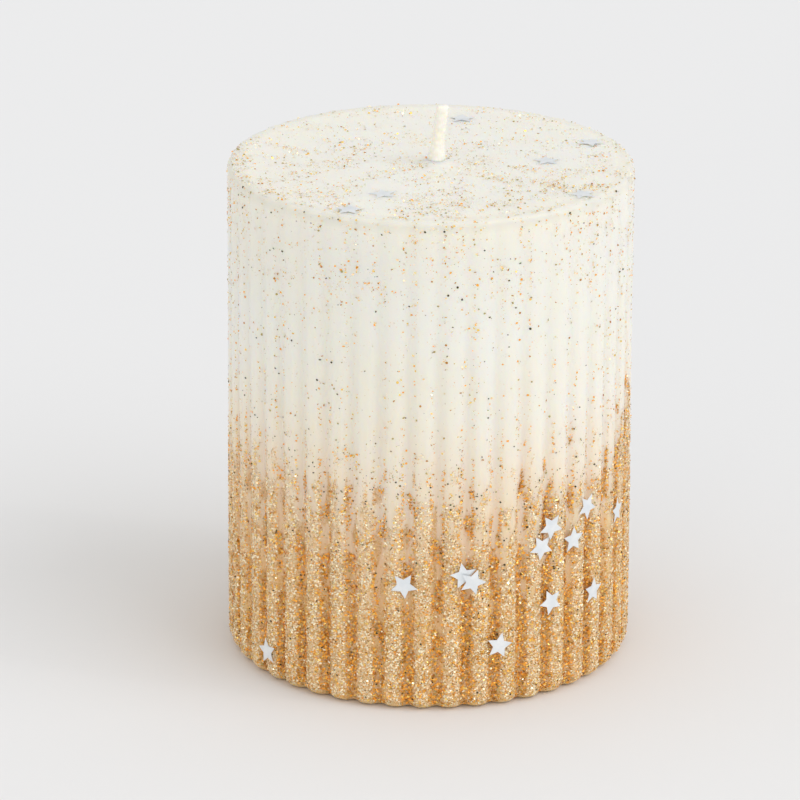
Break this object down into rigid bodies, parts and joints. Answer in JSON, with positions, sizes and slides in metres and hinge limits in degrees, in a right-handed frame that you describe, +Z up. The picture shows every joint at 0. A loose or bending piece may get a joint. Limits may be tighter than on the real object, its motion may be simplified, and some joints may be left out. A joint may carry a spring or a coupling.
{
  "type": "unity candle",
  "caption": "Straight ribbed pillar candle in ivory wax with a gold glitter-dipped foot, flat star confetti and one short waxed wick.",
  "frame": {"origin": "centre of the flat base, at the height of the surface that the candle stands on", "axes": "+Z up along the candle's axis; -Y is the front, +X the right-hand side seen from the front"},
  "size_m": [0.0801, 0.0805, 0.1105],
  "materials": {
    "ivory_wax": "smooth, slightly translucent ivory wax with a satin sheen and a sparse dusting of fine gold glitter",
    "gold_dip": "beige-gold tinted wax under a dense, rough coat of fine orange-gold metallic glitter, fading upwards",
    "wick": "braided cotton soaked in pale cream wax",
    "tinplate": "bright tin-plated steel, stamped",
    "star_foil": "flat pale silver-white foil with a soft sheen"
  },
  "bodies": {
    "root": {"wax_body": "ivory_wax", "gold_dip_coat": "gold_dip", "wick": "wick", "wick_sustainer": "tinplate", "star_side_01": "star_foil", "star_side_02": "star_foil", "star_side_03": "star_foil", "star_side_04": "star_foil", "star_side_05": "star_foil", "star_side_06": "star_foil", "star_side_07": "star_foil", "star_side_08": "star_foil", "star_side_09": "star_foil", "star_side_10": "star_foil", "star_side_11": "star_foil", "star_side_12": "star_foil", "star_side_13": "star_foil", "star_side_14": "star_foil", "star_side_15": "star_foil", "star_side_16": "star_foil", "star_side_17": "star_foil", "star_side_18": "star_foil", "star_side_19": "star_foil", "star_side_20": "star_foil", "star_top_01": "star_foil", "star_top_02": "star_foil", "star_top_03": "star_foil", "star_top_04": "star_foil", "star_top_05": "star_foil", "star_top_06": "star_foil"}
  },
  "joints": []
}
